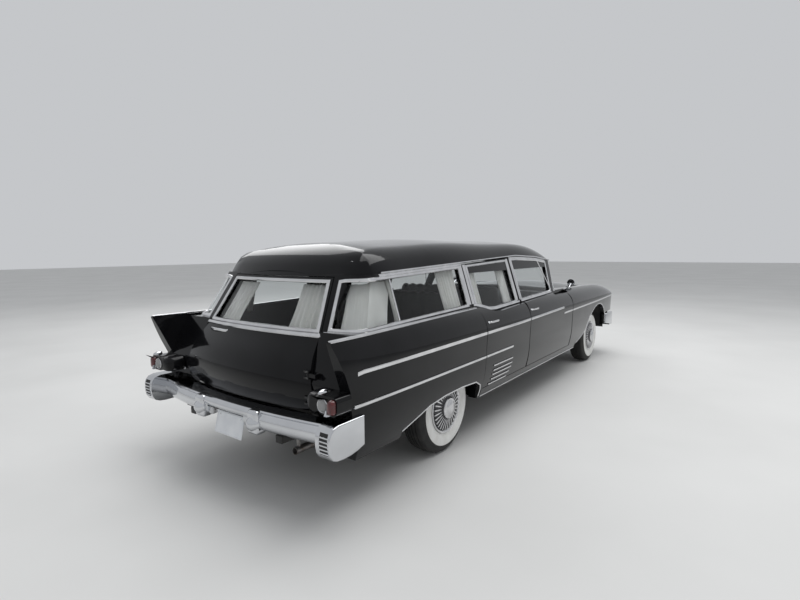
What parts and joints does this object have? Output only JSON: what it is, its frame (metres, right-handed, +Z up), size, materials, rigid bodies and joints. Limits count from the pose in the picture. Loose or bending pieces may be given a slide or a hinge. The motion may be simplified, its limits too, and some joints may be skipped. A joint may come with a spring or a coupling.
{
  "type": "long hearse with tail fins",
  "caption": "Long hearse with tail fins, wrap-round quarter windows, side-hinged rear door, swinging doors, hood, steering and turning wheels.",
  "frame": {"origin": "on the floor under the middle of the car's length and width", "axes": "+Z up, front of the car faces -Y, +X is the car's left"},
  "size_m": [2.0328, 6.31, 1.705],
  "materials": {
    "body_black": "deep gloss black paint",
    "chassis_black": "satin black chassis paint",
    "underbody": "matt black underseal",
    "engine_iron": "grey iron",
    "exhaust_steel": "dull steel",
    "chrome": "bright chrome",
    "wheel_chrome": "bright chrome wheel cover",
    "window_glass": "clear window glass",
    "lamp_glass": "clear lamp lens",
    "seat_leather": "black leather",
    "dash_black": "satin black dashboard",
    "tyre": "black tyre with wide white side wall"
  },
  "bodies": {
    "body": {"chassis_frame": "chassis_black", "floor_pan": "underbody", "engine_block": "engine_iron", "exhaust_system": "exhaust_steel", "fuel_tank": "underbody", "front_suspension": "chassis_black", "rear_axle": "chassis_black", "cowl": "body_black", "sills_and_posts": "body_black", "roof": "body_black", "quarter_left": "body_black", "quarter_right": "body_black", "fender_left": "body_black", "fender_right": "body_black", "windscreen": "window_glass", "quarter_glass": "window_glass", "front_bumper": "chrome", "rear_bumper": "chrome", "grille": "chrome", "headlamps": "lamp_glass", "tail_lamps": "chrome", "fender_mirrors": "chrome", "seats": "seat_leather", "dashboard": "dash_black"},
    "front_door_left": {"front_door_left": "body_black", "front_door_glass_left": "window_glass"},
    "front_door_right": {"front_door_right": "body_black", "front_door_glass_right": "window_glass"},
    "side_door_left": {"side_door_left": "body_black", "side_door_glass_left": "window_glass"},
    "side_door_right": {"side_door_right": "body_black", "side_door_glass_right": "window_glass"},
    "rear_door": {"rear_door": "body_black", "rear_glass": "window_glass"},
    "hood": {"hood": "body_black"},
    "steer_left": {"knuckle_left": "engine_iron"},
    "steer_right": {"knuckle_right": "engine_iron"},
    "wheel_front_left": {"wheel_front_left": "wheel_chrome", "tyre_front_left": "tyre"},
    "wheel_front_right": {"wheel_front_right": "wheel_chrome", "tyre_front_right": "tyre"},
    "wheel_rear_left": {"wheel_rear_left": "wheel_chrome", "tyre_rear_left": "tyre"},
    "wheel_rear_right": {"wheel_rear_right": "wheel_chrome", "tyre_rear_right": "tyre"}
  },
  "joints": [
    {"name": "front_door_left_swing", "type": "hinge", "parent": "body", "child": "front_door_left", "pos_m": [0.969, -0.96, 0.76], "axis": [0, 0, -1], "range_deg": [0, 62]},
    {"name": "front_door_right_swing", "type": "hinge", "parent": "body", "child": "front_door_right", "pos_m": [-0.969, -0.96, 0.76], "axis": [0, 0, 1], "range_deg": [0, 62]},
    {"name": "side_door_left_swing", "type": "hinge", "parent": "body", "child": "side_door_left", "pos_m": [0.973, 0.385, 0.76], "axis": [0, 0, -1], "range_deg": [0, 62]},
    {"name": "side_door_right_swing", "type": "hinge", "parent": "body", "child": "side_door_right", "pos_m": [-0.973, 0.385, 0.76], "axis": [0, 0, 1], "range_deg": [0, 62]},
    {"name": "rear_door_swing", "type": "hinge", "parent": "body", "child": "rear_door", "pos_m": [-0.668, 2.972, 0.78], "axis": [0, 0, 1], "range_deg": [0, 90]},
    {"name": "hood_lift", "type": "hinge", "parent": "body", "child": "hood", "pos_m": [0, -1.21, 1.06], "axis": [-1, 0, 0], "range_deg": [0, 42]},
    {"name": "steering_left", "type": "hinge", "parent": "body", "child": "steer_left", "pos_m": [0.655, -2.243, 0.364], "axis": [0, 0, 1], "range_deg": [-32, 32]},
    {"name": "steering_right", "type": "hinge", "parent": "body", "child": "steer_right", "pos_m": [-0.655, -2.243, 0.364], "axis": [0, 0, 1], "range_deg": [-32, 32]},
    {"name": "wheel_front_left_spin", "type": "hinge", "parent": "steer_left", "child": "wheel_front_left", "pos_m": [0.7745, -2.243, 0.364], "axis": [1, 0, 0], "continuous": true},
    {"name": "wheel_rear_left_spin", "type": "hinge", "parent": "body", "child": "wheel_rear_left", "pos_m": [0.7745, 1.719, 0.364], "axis": [1, 0, 0], "continuous": true},
    {"name": "wheel_front_right_spin", "type": "hinge", "parent": "steer_right", "child": "wheel_front_right", "pos_m": [-0.7745, -2.243, 0.364], "axis": [1, 0, 0], "continuous": true},
    {"name": "wheel_rear_right_spin", "type": "hinge", "parent": "body", "child": "wheel_rear_right", "pos_m": [-0.7745, 1.719, 0.364], "axis": [1, 0, 0], "continuous": true}
  ],
  "couplings": [
    {"joint": "steering_right", "follows": "steering_left", "ratio": 1}
  ]
}
